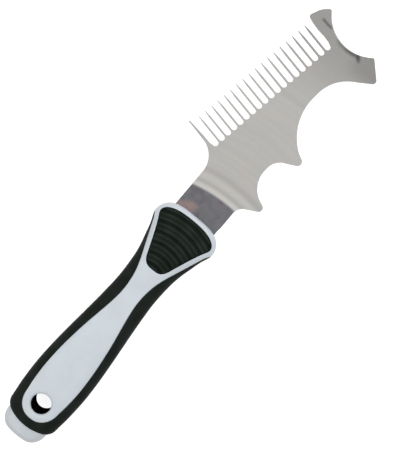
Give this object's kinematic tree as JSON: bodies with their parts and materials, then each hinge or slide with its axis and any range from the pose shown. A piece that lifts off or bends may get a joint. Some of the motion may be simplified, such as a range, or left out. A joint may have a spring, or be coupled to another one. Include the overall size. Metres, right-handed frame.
{
  "type": "painters multi tool",
  "caption": "Flat steel painter's tool with a brush-cleaning comb, two roller-cleaning arcs and a scraping hook, in a two-tone handle with thumb pads and a hanging hole.",
  "frame": {"origin": "centre of the tool's box in plan, on the surface that its rear face rests on", "axes": "+X from the butt to the blade, +Y to the comb side, +Z out of the front face"},
  "size_m": [0.2551, 0.0581, 0.0186],
  "materials": {
    "blade_steel": "satin ground stainless sheet, darker and smoother at the neck",
    "hard_grey": "light cool grey moulded plastic with a fine satin texture",
    "cap_grey": "light grey moulded plastic, a shade darker than the grip",
    "soft_black": "matt black soft-touch rubber",
    "pad_black": "matt black ribbed soft-touch rubber",
    "sleeve_black": "smooth black",
    "pin_steel": "plain steel"
  },
  "bodies": {
    "root": {"blade": "blade_steel", "front_shell": "hard_grey", "rear_shell": "hard_grey", "soft_grip": "soft_black", "front_thumb_pad": "pad_black", "rear_thumb_pad": "pad_black", "butt_cap": "cap_grey", "hang_hole_sleeve": "sleeve_black", "tang_pins": "pin_steel"}
  },
  "joints": []
}
